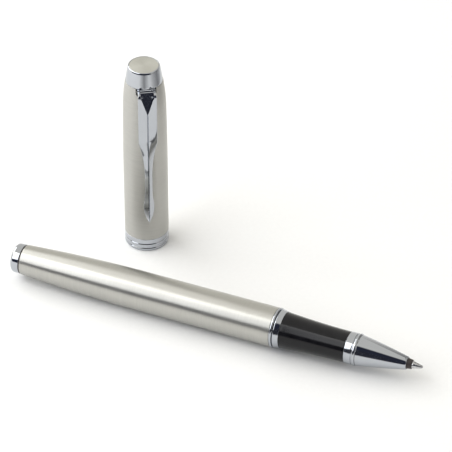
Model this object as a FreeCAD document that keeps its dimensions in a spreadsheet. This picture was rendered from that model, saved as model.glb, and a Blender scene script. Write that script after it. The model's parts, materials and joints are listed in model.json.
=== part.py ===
import FreeCAD, Part
import math
import os
import re

import Sketcher

# Capped rollerball pen, uncapped: the pen lies along +X with its tip at +X, and the cap stands
# on its mouth beside it, towards +Y. Millimetres, +Z up. The origin is the middle of the base
# of the whole arrangement. Pen pieces are turned about the pen's axis (their own X axis, zero at
# the tail end); cap pieces are turned about the cap's axis (their own Z axis, zero at the mouth),
# and their own +X is the side that carries the clip.

DIMENSIONS = [
    # Where the two assemblies lie
    ("half_length", 60.75, "half of the uncapped length, tail end to ball"),
    ("pen_side", 14.93, "pen axis, distance from the origin towards -Y"),
    ("pen_height", 5.62, "pen axis above the table: the rib's radius"),
    ("cap_back", 33.9, "cap axis, distance from the origin towards -X"),
    ("cap_side", 14.35, "cap axis, distance from the origin towards +Y"),
    ("clip_heading", -58.7, "direction of the clip about the cap's axis, degrees from +X"),
    # Tail end cap
    ("tail_face", 3.15, "radius of the flat end face"),
    ("tail_round", 1.03, "radius of the rounded end edge"),
    ("tail_radius", 4.18, "end cap radius"),
    ("groove_start", 2.6, "station where the end groove starts"),
    ("groove_floor", 3.9, "radius of the end groove's floor"),
    ("plug_radius", 3.77, "end cap plug radius"),
    ("plug_end", 5.6, "station where the end cap plug ends"),
    # Barrel tube
    ("barrel_start", 3.0, "station where the steel barrel starts"),
    ("barrel_tail", 4.22, "barrel radius at its tail end"),
    ("swell_end", 40.0, "station where the barrel becomes a cylinder"),
    ("swell_radius", 535.4, "radius of the barrel's swelling outline"),
    ("barrel_radius", 5.5, "barrel radius"),
    ("barrel_end", 78.75, "station where the steel barrel ends"),
    ("barrel_wall", 0.42, "barrel wall"),
    ("bush_start", 66.0, "station where the threaded bush starts"),
    ("bush_radius", 5.06, "threaded bush radius"),
    ("bush_bore", 4.3, "threaded bush bore radius"),
    ("face_gap", 0.05, "gap between faces that meet"),
    # Rib at the barrel's mouth
    ("rib_end", 79.5, "station where the rib ends"),
    ("rib_edge", 5.45, "rib radius at its edges"),
    ("rib_round", 0.45, "radius of the rib's rounded top"),
    ("rib_bore", 4.45, "rib bore radius"),
    # Writing section
    ("core_start", 66.0, "station where the section's threaded tube starts"),
    ("core_lead", 0.5, "lead-in at the threaded tube's end"),
    ("core_radius", 4.25, "threaded tube radius"),
    ("core_bore", 3.15, "section bore radius"),
    ("thread_start", 67.6, "station of the first thread groove"),
    ("thread_grooves", 8, "number of thread grooves"),
    ("thread_reach", 7.0, "first thread groove to the last"),
    ("thread_depth", 0.25, "thread depth"),
    ("thread_half", 0.4, "half the width of a thread groove"),
    ("seal_groove_start", 76.6, "station where the seal's groove starts"),
    ("seal_groove_end", 77.6, "station where the seal's groove ends"),
    ("seal_floor", 3.75, "radius of the seal groove's floor"),
    ("seal_ring", 4.02, "seal ring radius at the middle of its section"),
    ("seal_section", 0.24, "radius of the seal ring's own section"),
    ("shoulder_radius", 4.6, "radius of the section's shoulder"),
    ("sleeve_seat", 3.8, "radius of the tube under the grip"),
    ("band_bore", 4.62, "section band bore radius"),
    ("band_lead", 5.12, "section band radius at its rear edge"),
    ("band_crest", 79.9, "station of the section band's crest"),
    ("band_radius", 5.4, "section band radius at its crest"),
    ("band_end", 81.4, "station where the section band ends"),
    ("band_front", 5.08, "section band radius at its front edge"),
    ("grip_start", 81.5, "station where the grip starts"),
    ("grip_rear", 5.0, "grip radius at its rear end"),
    ("grip_end", 100.1, "station where the grip ends"),
    ("grip_front", 4.32, "grip radius at its front end"),
    ("grip_waist", 254.6, "radius of the grip's hollow outline"),
    ("grip_bore", 3.82, "grip bore radius"),
    ("front_start", 100.15, "station where the front ring starts"),
    ("front_radius", 4.4, "front ring radius"),
    ("front_step", 102.1, "station where the front ring steps down"),
    ("front_step_radius", 4.2, "front ring radius at the step"),
    ("bead_start", 102.35, "station where the bead starts"),
    ("bead_end", 103.25, "station where the bead ends"),
    ("bead_edge", 4.3, "bead radius at its edges"),
    ("bead_round", 0.55, "radius of the bead's rounded top"),
    ("front_bore", 3.72, "front ring bore radius"),
    ("core_front", 3.7, "radius of the section tube's front end"),
    ("core_end", 104.5, "station where the section tube ends"),
    # Nozzle cone
    ("cone_start", 103.35, "station where the nozzle cone starts"),
    ("cone_radius", 4.3, "nozzle cone radius at its rear end"),
    ("cone_swell", 190.0, "radius of the nozzle's slightly full outline"),
    ("cone_end", 117.1, "station where the nozzle cone ends"),
    ("cone_tip", 1.78, "nozzle cone radius at its front end"),
    ("cone_socket_end", 104.6, "station where the nozzle's socket ends"),
    ("cone_inner", 3.3, "nozzle's inner radius behind its socket"),
    ("cone_neck_start", 115.5, "station where the nozzle's neck starts"),
    ("cone_neck", 1.55, "nozzle neck's inner radius"),
    # Refill
    ("refill_start", 16.05, "station of the refill's rear end"),
    ("refill_radius", 3.05, "refill radius"),
    ("refill_bore", 2.6, "refill tube bore radius"),
    ("stopper_step", 17.5, "station where the refill's rear stopper steps down"),
    ("stopper_end", 21.0, "station where the rear stopper ends"),
    ("stopper_plug", 2.58, "rear stopper and nose spigot radius"),
    ("ink_start", 21.2, "station where the ink store starts"),
    ("ink_end", 99.7, "station where the ink store ends"),
    ("ink_radius", 2.5, "ink store radius"),
    ("nose_plug_start", 100.0, "station where the refill nose's spigot starts"),
    ("nose_start", 103.0, "station where the refill nose starts"),
    ("nose_shoulder", 104.2, "station of the refill nose's shoulder"),
    ("nose_shoulder_radius", 2.9, "refill nose radius at its shoulder"),
    ("nose_neck_start", 112.0, "station where the refill nose's neck starts"),
    ("nose_neck", 1.42, "refill nose neck radius"),
    ("nose_step", 117.35, "station where the visible collar starts"),
    ("nose_end", 118.5, "station where the refill nose ends"),
    ("nose_front", 1.28, "refill nose radius at its front end"),
    ("feed_bore", 1.05, "nose bore radius for the feed"),
    ("feed_radius", 1.0, "feed radius"),
    ("feed_end", 111.9, "station where the feed ends"),
    ("shank_bore", 0.77, "nose bore radius for the tip's shank"),
    ("shank_radius", 0.75, "tip shank radius"),
    ("tip_base", 0.98, "tip cone radius at its base"),
    ("tip_end", 121.3, "station where the tip cone ends"),
    ("tip_lip", 0.42, "tip cone radius at its lip"),
    ("tip_mouth", 0.338, "radius of the ball's opening at the lip"),
    ("socket_radius", 0.37, "radius of the ball's socket"),
    ("socket_start", 120.839, "station where the ball's socket starts"),
    ("ink_channel", 0.2, "radius of the tip's ink channel"),
    ("ball_station", 121.15, "station of the ball's centre"),
    ("ball_radius", 0.35, "ball radius"),
    # Spring behind the refill
    ("spring_start", 5.95, "station of the spring wire's first centre"),
    ("spring_travel", 8.5, "length of the spring between its end turns' centres"),
    ("spring_pitch", 1.7, "spring pitch"),
    ("spring_radius", 2.75, "spring radius to the wire's centre"),
    ("wire_radius", 0.22, "spring wire radius"),
    ("cup_spigot_start", 12.6, "station where the spring cup's spigot starts"),
    ("cup_spigot", 2.1, "spring cup spigot radius"),
    ("cup_start", 14.8, "station where the spring cup's flange starts"),
    ("cup_end", 16.0, "station where the spring cup's flange ends"),
    ("cup_radius", 3.3, "spring cup radius"),
    # Cap tube
    ("tube_bottom", 3.95, "height where the steel cap tube starts"),
    ("tube_radius", 6.2, "cap tube radius"),
    ("tube_wall", 0.4, "cap tube wall"),
    ("tube_bore", 5.8, "cap tube bore radius"),
    ("straight_end", 24.0, "height where the cap tube starts to narrow"),
    ("draw_radius", 1212.0, "radius of the cap's slow narrowing"),
    ("shoulder_start", 46.3, "height where the cap's shoulder starts"),
    ("tube_shoulder", 5.995, "cap tube radius where the shoulder starts"),
    ("shoulder_round", 60.0, "radius of the cap's shoulder outline"),
    ("tube_top", 54.6, "height where the steel cap tube ends"),
    ("tube_top_radius", 5.27, "cap tube radius at its top end"),
    ("notch_bottom", 52.35, "height of the clip notch's floor"),
    ("notch_half", 2.85, "half the clip notch's width"),
    ("notch_round", 0.9, "corner radius of the clip notch"),
    # Finial
    ("finial_bottom", 54.65, "height of the finial's lower face"),
    ("finial_radius", 5.16, "finial radius at its lower edge"),
    ("finial_swell", 40.0, "radius of the finial's slightly full side"),
    ("finial_edge", 58.95, "height where the finial's top edge rounds over"),
    ("finial_edge_radius", 4.5, "finial radius at its rounded edge"),
    ("finial_round", 0.46, "radius of the finial's top edge"),
    ("cap_height", 59.4, "height of the finial's top rim"),
    ("rim_radius", 4.22, "outer radius of the finial's top rim"),
    ("disc_seat", 4.07, "radius of the disc's seat"),
    ("disc_seat_floor", 58.6, "height of the disc seat's floor"),
    ("disc_radius", 4.05, "disc radius"),
    ("disc_thickness", 0.78, "disc thickness"),
    ("stud_radius", 1.5, "finial stud radius"),
    ("stud_bottom", 47.0, "height of the stud's lower end"),
    ("stud_bore", 1.6, "bore radius of the pieces on the stud"),
    # Clip
    ("clip_ring_bottom", 53.85, "height of the clip ring's lower face"),
    ("clip_ring_radius", 4.75, "clip ring radius"),
    ("clip_ring_plate", 0.75, "clip ring thickness"),
    ("clip_tab_end", 5.35, "reach of the clip ring's tab"),
    ("clip_tab_half", 2.45, "half the tab's width"),
    ("clip_root", 5.4, "reach where the clip arm starts"),
    ("clip_root_top", 54.45, "height of the arm's root, upper face"),
    ("clip_root_under", 53.6, "height of the arm's root, lower face"),
    ("clip_bend_start", 6.55, "reach where the arm's outer bend starts"),
    ("clip_bend", 1.35, "radius of the arm's outer bend"),
    ("clip_bend_end", 53.15, "height where the arm's outer bend ends"),
    ("clip_front", 7.9, "reach of the arm's front face, top"),
    ("clip_front_low", 7.65, "reach of the arm's front face, bottom"),
    ("clip_back", 7.05, "reach of the arm's back face, top"),
    ("clip_back_low", 6.85, "reach of the arm's back face, bottom"),
    ("clip_inner_bend_start", 6.5, "reach where the arm's inner bend starts"),
    ("clip_inner_bend_end", 53.05, "height where the arm's inner bend ends"),
    ("clip_inner_bend", 0.55, "radius of the arm's inner bend"),
    ("clip_foot_top", 16.5, "height where the arm's contact foot starts"),
    ("clip_foot", 6.3, "reach of the contact foot"),
    ("clip_foot_mid", 14.2, "height of the contact foot"),
    ("clip_tip", 10.9, "height of the clip's tip"),
    ("clip_tip_back", 6.75, "reach of the tip's back"),
    ("clip_tip_front", 7.2, "reach of the tip's front"),
    ("clip_tip_round", 13.0, "height where the tip starts to curve in"),
    ("clip_tip_curve", 4.5, "radius of the tip's curved front"),
    ("clip_half", 2.62, "half the clip's width at the blade"),
    ("blade_top", 52.4, "height where the blade is full width"),
    ("blade_end", 37.6, "height where the blade starts to narrow"),
    ("waist_top", 34.0, "height where the narrowing ends"),
    ("waist_half", 1.35, "half the arm's width below the blade"),
    ("stem_half", 1.02, "half the arm's width above the leaf"),
    ("stem_end", 21.5, "height where the leaf starts"),
    ("leaf_half", 1.5, "half the leaf's width"),
    ("leaf_middle", 16.6, "height of the leaf's widest place"),
    ("leaf_round", 13.5, "radius of the leaf's sides"),
    ("blank_half", 4.0, "half the width of the strip that the arm is cut from"),
    ("blank_top", 56.0, "top of the strip that the arm is cut from"),
    ("blank_bottom", 9.0, "bottom of the strip that the arm is cut from"),
    # Inside the cap
    ("collar_bottom", 48.2, "height of the finial bush's lower face"),
    ("collar_top", 53.8, "height of the finial bush's upper face"),
    ("collar_radius", 4.85, "finial bush radius"),
    ("nut_bottom", 46.15, "height of the nut's lower face"),
    ("nut_height", 2.0, "nut height"),
    ("nut_corner", 3.2, "nut radius to its corners"),
    ("liner_bottom", 13.2, "height of the inner cap's lower end"),
    ("liner_top", 46.1, "height of the inner cap's upper end"),
    ("liner_roof", 44.9, "height of the inner cap's roof"),
    ("liner_radius", 5.45, "inner cap radius"),
    ("liner_bore", 4.75, "inner cap bore radius"),
    ("clutch_bottom", 6.6, "height of the clutch insert's lower end"),
    ("clutch_top", 13.1, "height of the clutch insert's upper end"),
    ("clutch_radius", 5.76, "clutch insert radius"),
    ("clutch_bore", 5.0, "clutch insert bore radius"),
    ("clutch_fingers", 6, "number of slots between the clutch fingers"),
    ("slot_half", 0.35, "half the width of a clutch slot"),
    ("slot_top", 11.4, "height where the clutch slots end"),
    # Mouth trim
    ("trim_top", 3.9, "height of the trim ring's shoulder"),
    ("trim_bore", 5.5, "cap mouth bore radius"),
    ("trim_spigot", 5.78, "trim ring spigot radius"),
    ("trim_spigot_top", 6.5, "height of the trim spigot's end"),
    ("trim_round", 0.3, "radius of the mouth's outer edge"),
    ("trim_depth", 0.17, "depth of the trim grooves"),
    ("groove_width", 0.3, "width of a trim groove"),
    ("lower_groove", 1.0, "height of the lower trim groove"),
    ("upper_groove", 2.4, "height of the upper trim groove"),
]

VALUE = {name: number for name, number, meaning in DIMENSIONS}
ON_AXIS = "0"

doc = FreeCAD.newDocument("RollerballPen")
sheet = doc.addObject("Spreadsheet::Sheet", "Dimensions")
for row, (name, number, meaning) in enumerate(DIMENSIONS, start=1):
    sheet.set(f"A{row}", meaning)
    sheet.set(f"B{row}", str(number))
    sheet.setAlias(f"B{row}", name)
doc.recompute()

finished = []


def size(terms):
    """The value of a sum of named dimensions, such as "trim_top + face_gap"."""
    total = 0.0
    for sign, name in re.findall(r"([+-]?)\s*([a-z_]+)", terms):
        total += -VALUE[name] if sign == "-" else VALUE[name]
    return total


def formula(terms):
    """The same sum as an expression on the spreadsheet's cells."""
    return re.sub(r"([a-z_]+)", r"Dimensions.\1", terms)


def bind(thing, prop, terms):
    thing.setExpression(prop, formula(terms))


def arc_middle(start, end, radius, side):
    """The middle point of an arc from start to end, bulging to the left (1) or right (-1)."""
    chord = end - start
    half = chord.Length / 2
    rise = radius - math.sqrt(radius ** 2 - half ** 2)
    across = FreeCAD.Vector(-chord.y, chord.x, 0).normalize()
    return (start + end) * 0.5 + across * rise * side


def draw(sketch, corners):
    """Closed outline. A corner is (across, up), and with (radius, side) added the edge that
    leaves it is an arc; every corner and radius is tied to the spreadsheet."""
    places = [FreeCAD.Vector(size(corner[0]), size(corner[1]), 0) for corner in corners]
    starts = []
    ends = []
    for number, corner in enumerate(corners):
        start = places[number]
        end = places[(number + 1) % len(corners)]
        if len(corner) == 2:
            edge = sketch.addGeometry(Part.LineSegment(start, end))
            starts.append((edge, 1))
            ends.append((edge, 2))
            continue
        middle = arc_middle(start, end, size(corner[2]), corner[3])
        edge = sketch.addGeometry(Part.Arc(start, middle, end))
        forward = sketch.getPoint(edge, 1).distanceToPoint(start) < 1e-6
        starts.append((edge, 1 if forward else 2))
        ends.append((edge, 2 if forward else 1))
    for number, corner in enumerate(corners):
        following = starts[(number + 1) % len(corners)]
        sketch.addConstraint(Sketcher.Constraint("Coincident", *ends[number], *following))
    for number, corner in enumerate(corners):
        for kind, terms, axis in (("DistanceX", corner[0], -2), ("DistanceY", corner[1], -1)):
            if terms == ON_AXIS:
                sketch.addConstraint(Sketcher.Constraint("PointOnObject", *starts[number], axis))
                continue
            tie = Sketcher.Constraint(kind, -1, 1, *starts[number], size(terms))
            bind(sketch, f"Constraints[{sketch.addConstraint(tie)}]", terms)
        if len(corner) == 4:
            tie = Sketcher.Constraint("Radius", starts[number][0], size(corner[2]))
            bind(sketch, f"Constraints[{sketch.addConstraint(tie)}]", corner[2])


def new_body(label):
    body = doc.addObject("PartDesign::Body", label)
    body.Label = label
    return body


def sketch_on(body, plane, name):
    sketch = body.newObject("Sketcher::SketchObject", f"{body.Label}_{name}")
    origin_plane = next(item for item in body.Origin.OriginFeatures if item.Role == plane)
    sketch.AttachmentSupport = [(origin_plane, "")]
    sketch.MapMode = "FlatFace"
    return sketch


def revolve(body, corners, axis):
    sketch = sketch_on(body, "XZ_Plane", "profile")
    draw(sketch, corners)
    solid = body.newObject("PartDesign::Revolution", f"{body.Label}_turned")
    solid.Profile = sketch
    solid.ReferenceAxis = (sketch, [axis])
    solid.Angle = 360.0
    sketch.Visibility = False
    doc.recompute()
    return solid


def cut_checked(body, feature):
    """Recompute a cutting feature and turn it round if it removed nothing."""
    before = feature.BaseFeature.Shape.Volume
    doc.recompute()
    if before - feature.Shape.Volume < 1e-6:
        feature.Reversed = not feature.Reversed
        doc.recompute()
    body.Tip = feature


def lay_on_pen(piece):
    """Put a piece whose own X axis is the pen's axis in its place."""
    bind(piece, "Placement.Base.x", "-half_length")
    bind(piece, "Placement.Base.y", "-pen_side")
    bind(piece, "Placement.Base.z", "pen_height")
    finished.append(piece)


def stand_in_cap(piece):
    """Put a piece whose own Z axis is the cap's axis in its place, clip side turned round."""
    piece.Placement.Rotation = FreeCAD.Rotation(FreeCAD.Vector(0, 0, 1), 0)
    bind(piece, "Placement.Base.x", "-cap_back")
    bind(piece, "Placement.Base.y", "cap_side")
    bind(piece, "Placement.Rotation.Angle", "clip_heading")
    finished.append(piece)


def turned_pen_piece(label, corners):
    body = new_body(label)
    revolve(body, corners, "H_Axis")
    lay_on_pen(body)
    return body


def turned_cap_piece(label, corners):
    body = new_body(label)
    revolve(body, corners, "V_Axis")
    stand_in_cap(body)
    return body


def round_bar(label, start, end, radius):
    """A plain round bar on the pen's axis, between two stations."""
    bar = doc.addObject("Part::Cylinder", label)
    bar.Label = label
    bind(bar, "Radius", radius)
    bind(bar, "Height", f"{end} - {start}")
    bar.Placement.Rotation = FreeCAD.Rotation(FreeCAD.Vector(0, 1, 0), 90)
    lay_on_pen(bar)
    bind(bar, "Placement.Base.x", f"{start} - half_length")
    return bar


# Barrel -------------------------------------------------------------------------------------

turned_pen_piece("barrel_end_cap", [
    (ON_AXIS, ON_AXIS),
    (ON_AXIS, "tail_face", "tail_round", 1),
    ("tail_round", "tail_radius"),
    ("groove_start", "tail_radius"),
    ("groove_start", "groove_floor"),
    ("barrel_start - face_gap", "groove_floor"),
    ("barrel_start - face_gap", "plug_radius"),
    ("plug_end", "plug_radius"),
    ("plug_end", ON_AXIS),
])

turned_pen_piece("barrel_tube", [
    ("barrel_start", "barrel_tail - barrel_wall"),
    ("barrel_start", "barrel_tail", "swell_radius", 1),
    ("swell_end", "barrel_radius"),
    ("barrel_end", "barrel_radius"),
    ("barrel_end", "barrel_radius - barrel_wall"),
    ("swell_end", "barrel_radius - barrel_wall", "swell_radius", -1),
])

turned_pen_piece("barrel_thread_bush", [
    ("bush_start", "bush_bore"),
    ("bush_start", "bush_radius"),
    ("barrel_end", "bush_radius"),
    ("barrel_end", "bush_bore"),
])

turned_pen_piece("barrel_rib", [
    ("barrel_end + face_gap", "rib_bore"),
    ("barrel_end + face_gap", "rib_edge", "rib_round", 1),
    ("rib_end", "rib_edge"),
    ("rib_end", "rib_bore"),
])

# Spring and cup behind the refill -----------------------------------------------------------


def make_spring():
    body = new_body("refill_spring")
    wire = sketch_on(body, "XZ_Plane", "wire")
    centre = FreeCAD.Vector(size("spring_start"), size("spring_radius"), 0)
    normal = FreeCAD.Vector(0, 0, 1)
    wire.addGeometry(Part.Circle(centre, normal, size("wire_radius")))
    ties = [
        (Sketcher.Constraint("DistanceX", -1, 1, 0, 3, centre.x), "spring_start"),
        (Sketcher.Constraint("DistanceY", -1, 1, 0, 3, centre.y), "spring_radius"),
        (Sketcher.Constraint("Radius", 0, size("wire_radius")), "wire_radius"),
    ]
    for tie, terms in ties:
        bind(wire, f"Constraints[{wire.addConstraint(tie)}]", terms)
    doc.recompute()
    coil = body.newObject("PartDesign::AdditiveHelix", "refill_spring_coil")
    coil.Profile = wire
    coil.ReferenceAxis = (wire, ["H_Axis"])
    coil.Mode = 0
    bind(coil, "Pitch", "spring_pitch")
    bind(coil, "Height", "spring_travel")
    wire.Visibility = False
    doc.recompute()
    lay_on_pen(body)


make_spring()

turned_pen_piece("spring_cup", [
    ("cup_spigot_start", ON_AXIS),
    ("cup_spigot_start", "cup_spigot"),
    ("cup_start", "cup_spigot"),
    ("cup_start", "cup_radius"),
    ("cup_end", "cup_radius"),
    ("cup_end", ON_AXIS),
])

# Writing section ----------------------------------------------------------------------------


def make_section_core():
    body = new_body("section_core")
    revolve(body, [
        ("core_start", "core_bore"),
        ("core_start", "core_radius - core_lead"),
        ("core_start + core_lead", "core_radius"),
        ("seal_groove_start", "core_radius"),
        ("seal_groove_start", "seal_floor"),
        ("seal_groove_end", "seal_floor"),
        ("seal_groove_end", "core_radius"),
        ("rib_end + face_gap", "core_radius"),
        ("rib_end + face_gap", "shoulder_radius"),
        ("band_end", "shoulder_radius"),
        ("band_end", "sleeve_seat"),
        ("grip_end", "sleeve_seat"),
        ("grip_end", "core_front"),
        ("core_end", "core_front"),
        ("core_end", "core_bore"),
    ], "H_Axis")
    tooth = sketch_on(body, "XZ_Plane", "tooth")
    draw(tooth, [
        ("thread_start - thread_half", "core_radius + face_gap"),
        ("thread_start", "core_radius - thread_depth"),
        ("thread_start + thread_half", "core_radius + face_gap"),
    ])
    groove = body.newObject("PartDesign::Groove", "section_core_thread")
    groove.Profile = tooth
    groove.ReferenceAxis = (tooth, ["H_Axis"])
    groove.Angle = 360.0
    tooth.Visibility = False
    cut_checked(body, groove)
    grooves = body.newObject("PartDesign::LinearPattern", "section_core_threads")
    grooves.Originals = [groove]
    grooves.Direction = (tooth, ["H_Axis"])
    bind(grooves, "Length", "thread_reach")
    bind(grooves, "Occurrences", "thread_grooves")
    body.Tip = grooves
    doc.recompute()
    lay_on_pen(body)


make_section_core()

seal = doc.addObject("Part::Torus", "section_seal")
seal.Label = "section_seal"
bind(seal, "Radius1", "seal_ring")
bind(seal, "Radius2", "seal_section")
seal.Placement.Rotation = FreeCAD.Rotation(FreeCAD.Vector(0, 1, 0), 90)
lay_on_pen(seal)
seal.setExpression(
    "Placement.Base.x",
    "(Dimensions.seal_groove_start + Dimensions.seal_groove_end) / 2 - Dimensions.half_length",
)

turned_pen_piece("section_band", [
    ("rib_end + face_gap", "band_bore"),
    ("rib_end + face_gap", "band_lead"),
    ("band_crest", "band_radius"),
    ("band_end", "band_front"),
    ("band_end", "band_bore"),
])

turned_pen_piece("grip_sleeve", [
    ("grip_start", "grip_bore"),
    ("grip_start", "grip_rear", "grip_waist", -1),
    ("grip_end", "grip_front"),
    ("grip_end", "grip_bore"),
])

turned_pen_piece("front_ring", [
    ("front_start", "front_bore"),
    ("front_start", "front_radius"),
    ("front_step", "front_radius"),
    ("front_step", "front_step_radius"),
    ("bead_start", "front_step_radius"),
    ("bead_start", "bead_edge", "bead_round", 1),
    ("bead_end", "bead_edge"),
    ("bead_end", "front_bore"),
])

turned_pen_piece("nozzle_cone", [
    ("cone_start", "front_bore"),
    ("cone_start", "cone_radius", "cone_swell", 1),
    ("cone_end", "cone_tip"),
    ("cone_end", "cone_neck"),
    ("cone_neck_start", "cone_neck"),
    ("cone_socket_end", "cone_inner"),
    ("cone_socket_end", "front_bore"),
])

# Refill -------------------------------------------------------------------------------------

turned_pen_piece("refill_stopper", [
    ("refill_start", ON_AXIS),
    ("refill_start", "refill_radius"),
    ("stopper_step", "refill_radius"),
    ("stopper_step", "stopper_plug"),
    ("stopper_end", "stopper_plug"),
    ("stopper_end", ON_AXIS),
])

turned_pen_piece("refill_tube", [
    ("stopper_step + face_gap", "refill_bore"),
    ("stopper_step + face_gap", "refill_radius"),
    ("nose_start - face_gap", "refill_radius"),
    ("nose_start - face_gap", "refill_bore"),
])

round_bar("ink_store", "ink_start", "ink_end", "ink_radius")
round_bar("ink_feed", "nose_plug_start", "feed_end", "feed_radius")

turned_pen_piece("refill_nose", [
    ("nose_plug_start", "feed_bore"),
    ("nose_plug_start", "stopper_plug"),
    ("nose_start", "stopper_plug"),
    ("nose_start", "refill_radius"),
    ("nose_shoulder", "refill_radius"),
    ("nose_shoulder", "nose_shoulder_radius"),
    ("nose_neck_start", "nose_neck"),
    ("nose_step", "nose_neck"),
    ("nose_end", "nose_front"),
    ("nose_end", "shank_bore"),
    ("nose_neck_start", "shank_bore"),
    ("nose_neck_start", "feed_bore"),
])

turned_pen_piece("tip_cone", [
    ("nose_neck_start + face_gap", "ink_channel"),
    ("nose_neck_start + face_gap", "shank_radius"),
    ("nose_end + face_gap", "shank_radius"),
    ("nose_end + face_gap", "tip_base"),
    ("tip_end", "tip_lip"),
    ("tip_end", "tip_mouth", "socket_radius", -1),
    ("socket_start", "ink_channel"),
])

ball = doc.addObject("Part::Sphere", "writing_ball")
ball.Label = "writing_ball"
bind(ball, "Radius", "ball_radius")
lay_on_pen(ball)
bind(ball, "Placement.Base.x", "ball_station - half_length")

# Cap ----------------------------------------------------------------------------------------


def make_cap_tube():
    body = new_body("cap_tube")
    revolve(body, [
        ("tube_bore", "tube_bottom"),
        ("tube_radius", "tube_bottom"),
        ("tube_radius", "straight_end", "draw_radius", -1),
        ("tube_shoulder", "shoulder_start", "shoulder_round", -1),
        ("tube_top_radius", "tube_top"),
        ("tube_top_radius - tube_wall", "tube_top", "shoulder_round", 1),
        ("tube_shoulder - tube_wall", "shoulder_start", "draw_radius", 1),
        ("tube_bore", "straight_end"),
    ], "V_Axis")
    gap = sketch_on(body, "YZ_Plane", "notch")
    draw(gap, [
        ("-notch_half", "tube_top + face_gap"),
        ("-notch_half", "notch_bottom + notch_round", "notch_round", -1),
        ("notch_round - notch_half", "notch_bottom"),
        ("notch_half - notch_round", "notch_bottom", "notch_round", -1),
        ("notch_half", "notch_bottom + notch_round"),
        ("notch_half", "tube_top + face_gap"),
    ])
    notch = body.newObject("PartDesign::Pocket", "cap_tube_notch")
    notch.Profile = gap
    bind(notch, "Length", "tube_radius + tube_wall")
    notch.Reversed = True
    gap.Visibility = False
    cut_checked(body, notch)
    stand_in_cap(body)


make_cap_tube()

turned_cap_piece("cap_finial", [
    (ON_AXIS, "stud_bottom"),
    ("stud_radius", "stud_bottom"),
    ("stud_radius", "finial_bottom"),
    ("finial_radius", "finial_bottom", "finial_swell", -1),
    ("finial_edge_radius", "finial_edge", "finial_round", -1),
    ("rim_radius", "cap_height"),
    ("disc_seat", "cap_height"),
    ("disc_seat", "disc_seat_floor"),
    (ON_AXIS, "disc_seat_floor"),
])

disc = doc.addObject("Part::Cylinder", "finial_disc")
disc.Label = "finial_disc"
bind(disc, "Radius", "disc_radius")
bind(disc, "Height", "disc_thickness")
stand_in_cap(disc)
bind(disc, "Placement.Base.z", "disc_seat_floor")


def make_clip_ring():
    """Ring under the finial that holds the clip, with the tab that reaches the notch."""
    body = new_body("clip_ring")
    revolve(body, [
        ("stud_bore", "clip_ring_bottom"),
        ("clip_ring_radius", "clip_ring_bottom"),
        ("clip_ring_radius", "tube_top"),
        ("stud_bore", "tube_top"),
    ], "V_Axis")
    outline = sketch_on(body, "XY_Plane", "tab")
    draw(outline, [
        ("clip_ring_radius - clip_ring_plate", "-clip_tab_half"),
        ("clip_tab_end", "-clip_tab_half"),
        ("clip_tab_end", "clip_tab_half"),
        ("clip_ring_radius - clip_ring_plate", "clip_tab_half"),
    ])
    bind(outline, "AttachmentOffset.Base.z", "clip_ring_bottom")
    tab = body.newObject("PartDesign::Pad", "clip_ring_tab")
    tab.Profile = outline
    bind(tab, "Length", "tube_top - clip_ring_bottom")
    outline.Visibility = False
    body.Tip = tab
    doc.recompute()
    stand_in_cap(body)


def make_clip_arm():
    """Sprung arm: a bent strip, cut to a broad blade that narrows to a stem and a plain leaf."""
    body = new_body("clip_arm")
    side = sketch_on(body, "XZ_Plane", "side")
    draw(side, [
        ("clip_root", "clip_root_under"),
        ("clip_root", "clip_root_top"),
        ("clip_bend_start", "clip_root_top", "clip_bend", 1),
        ("clip_front", "clip_bend_end"),
        ("clip_front_low", "clip_tip_round", "clip_tip_curve", 1),
        ("clip_tip_front", "clip_tip"),
        ("clip_tip_back", "clip_tip"),
        ("clip_foot", "clip_foot_mid"),
        ("clip_back_low", "clip_foot_top"),
        ("clip_back", "clip_inner_bend_end", "clip_inner_bend", -1),
        ("clip_inner_bend_start", "clip_root_under"),
    ])
    strip = body.newObject("PartDesign::Pad", "clip_arm_strip")
    strip.Profile = side
    strip.Midplane = True
    bind(strip, "Length", "blank_half + blank_half")
    side.Visibility = False
    doc.recompute()
    front = sketch_on(body, "YZ_Plane", "front")
    draw(front, [
        ("-blank_half", "blank_bottom"),
        ("blank_half", "blank_bottom"),
        ("blank_half", "blank_top"),
        ("-blank_half", "blank_top"),
    ])
    right_side = [
        ("clip_tab_half", "blank_top - face_gap"),
        ("clip_tab_half", "clip_root_under"),
        ("clip_half", "blade_top"),
        ("clip_half", "blade_end"),
        ("waist_half", "waist_top"),
        ("stem_half", "stem_end"),
        ("leaf_half", "leaf_middle", "leaf_round", 1),
    ]
    left_side = [("-" + across, up) for across, up in (corner[:2] for corner in right_side[::-1])]
    point = (ON_AXIS, "clip_tip - face_gap", "leaf_round", 1)
    draw(front, right_side + [point] + left_side)
    trim = body.newObject("PartDesign::Pocket", "clip_arm_outline")
    trim.Profile = front
    bind(trim, "Length", "clip_front + blank_half")
    trim.Reversed = True
    front.Visibility = False
    cut_checked(body, trim)
    stand_in_cap(body)


make_clip_ring()
make_clip_arm()

turned_cap_piece("finial_bush", [
    ("stud_bore", "collar_bottom"),
    ("collar_radius", "collar_bottom"),
    ("collar_radius", "collar_top"),
    ("stud_bore", "collar_top"),
])


def make_nut():
    hexagon = doc.addObject("Part::Prism", "nut_blank")
    hexagon.Polygon = 6
    bind(hexagon, "Circumradius", "nut_corner")
    bind(hexagon, "Height", "nut_height")
    bore = doc.addObject("Part::Cylinder", "nut_bore")
    bind(bore, "Radius", "stud_bore")
    bind(bore, "Height", "nut_height")
    nut = doc.addObject("Part::Cut", "finial_nut")
    nut.Label = "finial_nut"
    nut.Base = hexagon
    nut.Tool = bore
    stand_in_cap(nut)
    bind(nut, "Placement.Base.z", "nut_bottom")


make_nut()

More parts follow.
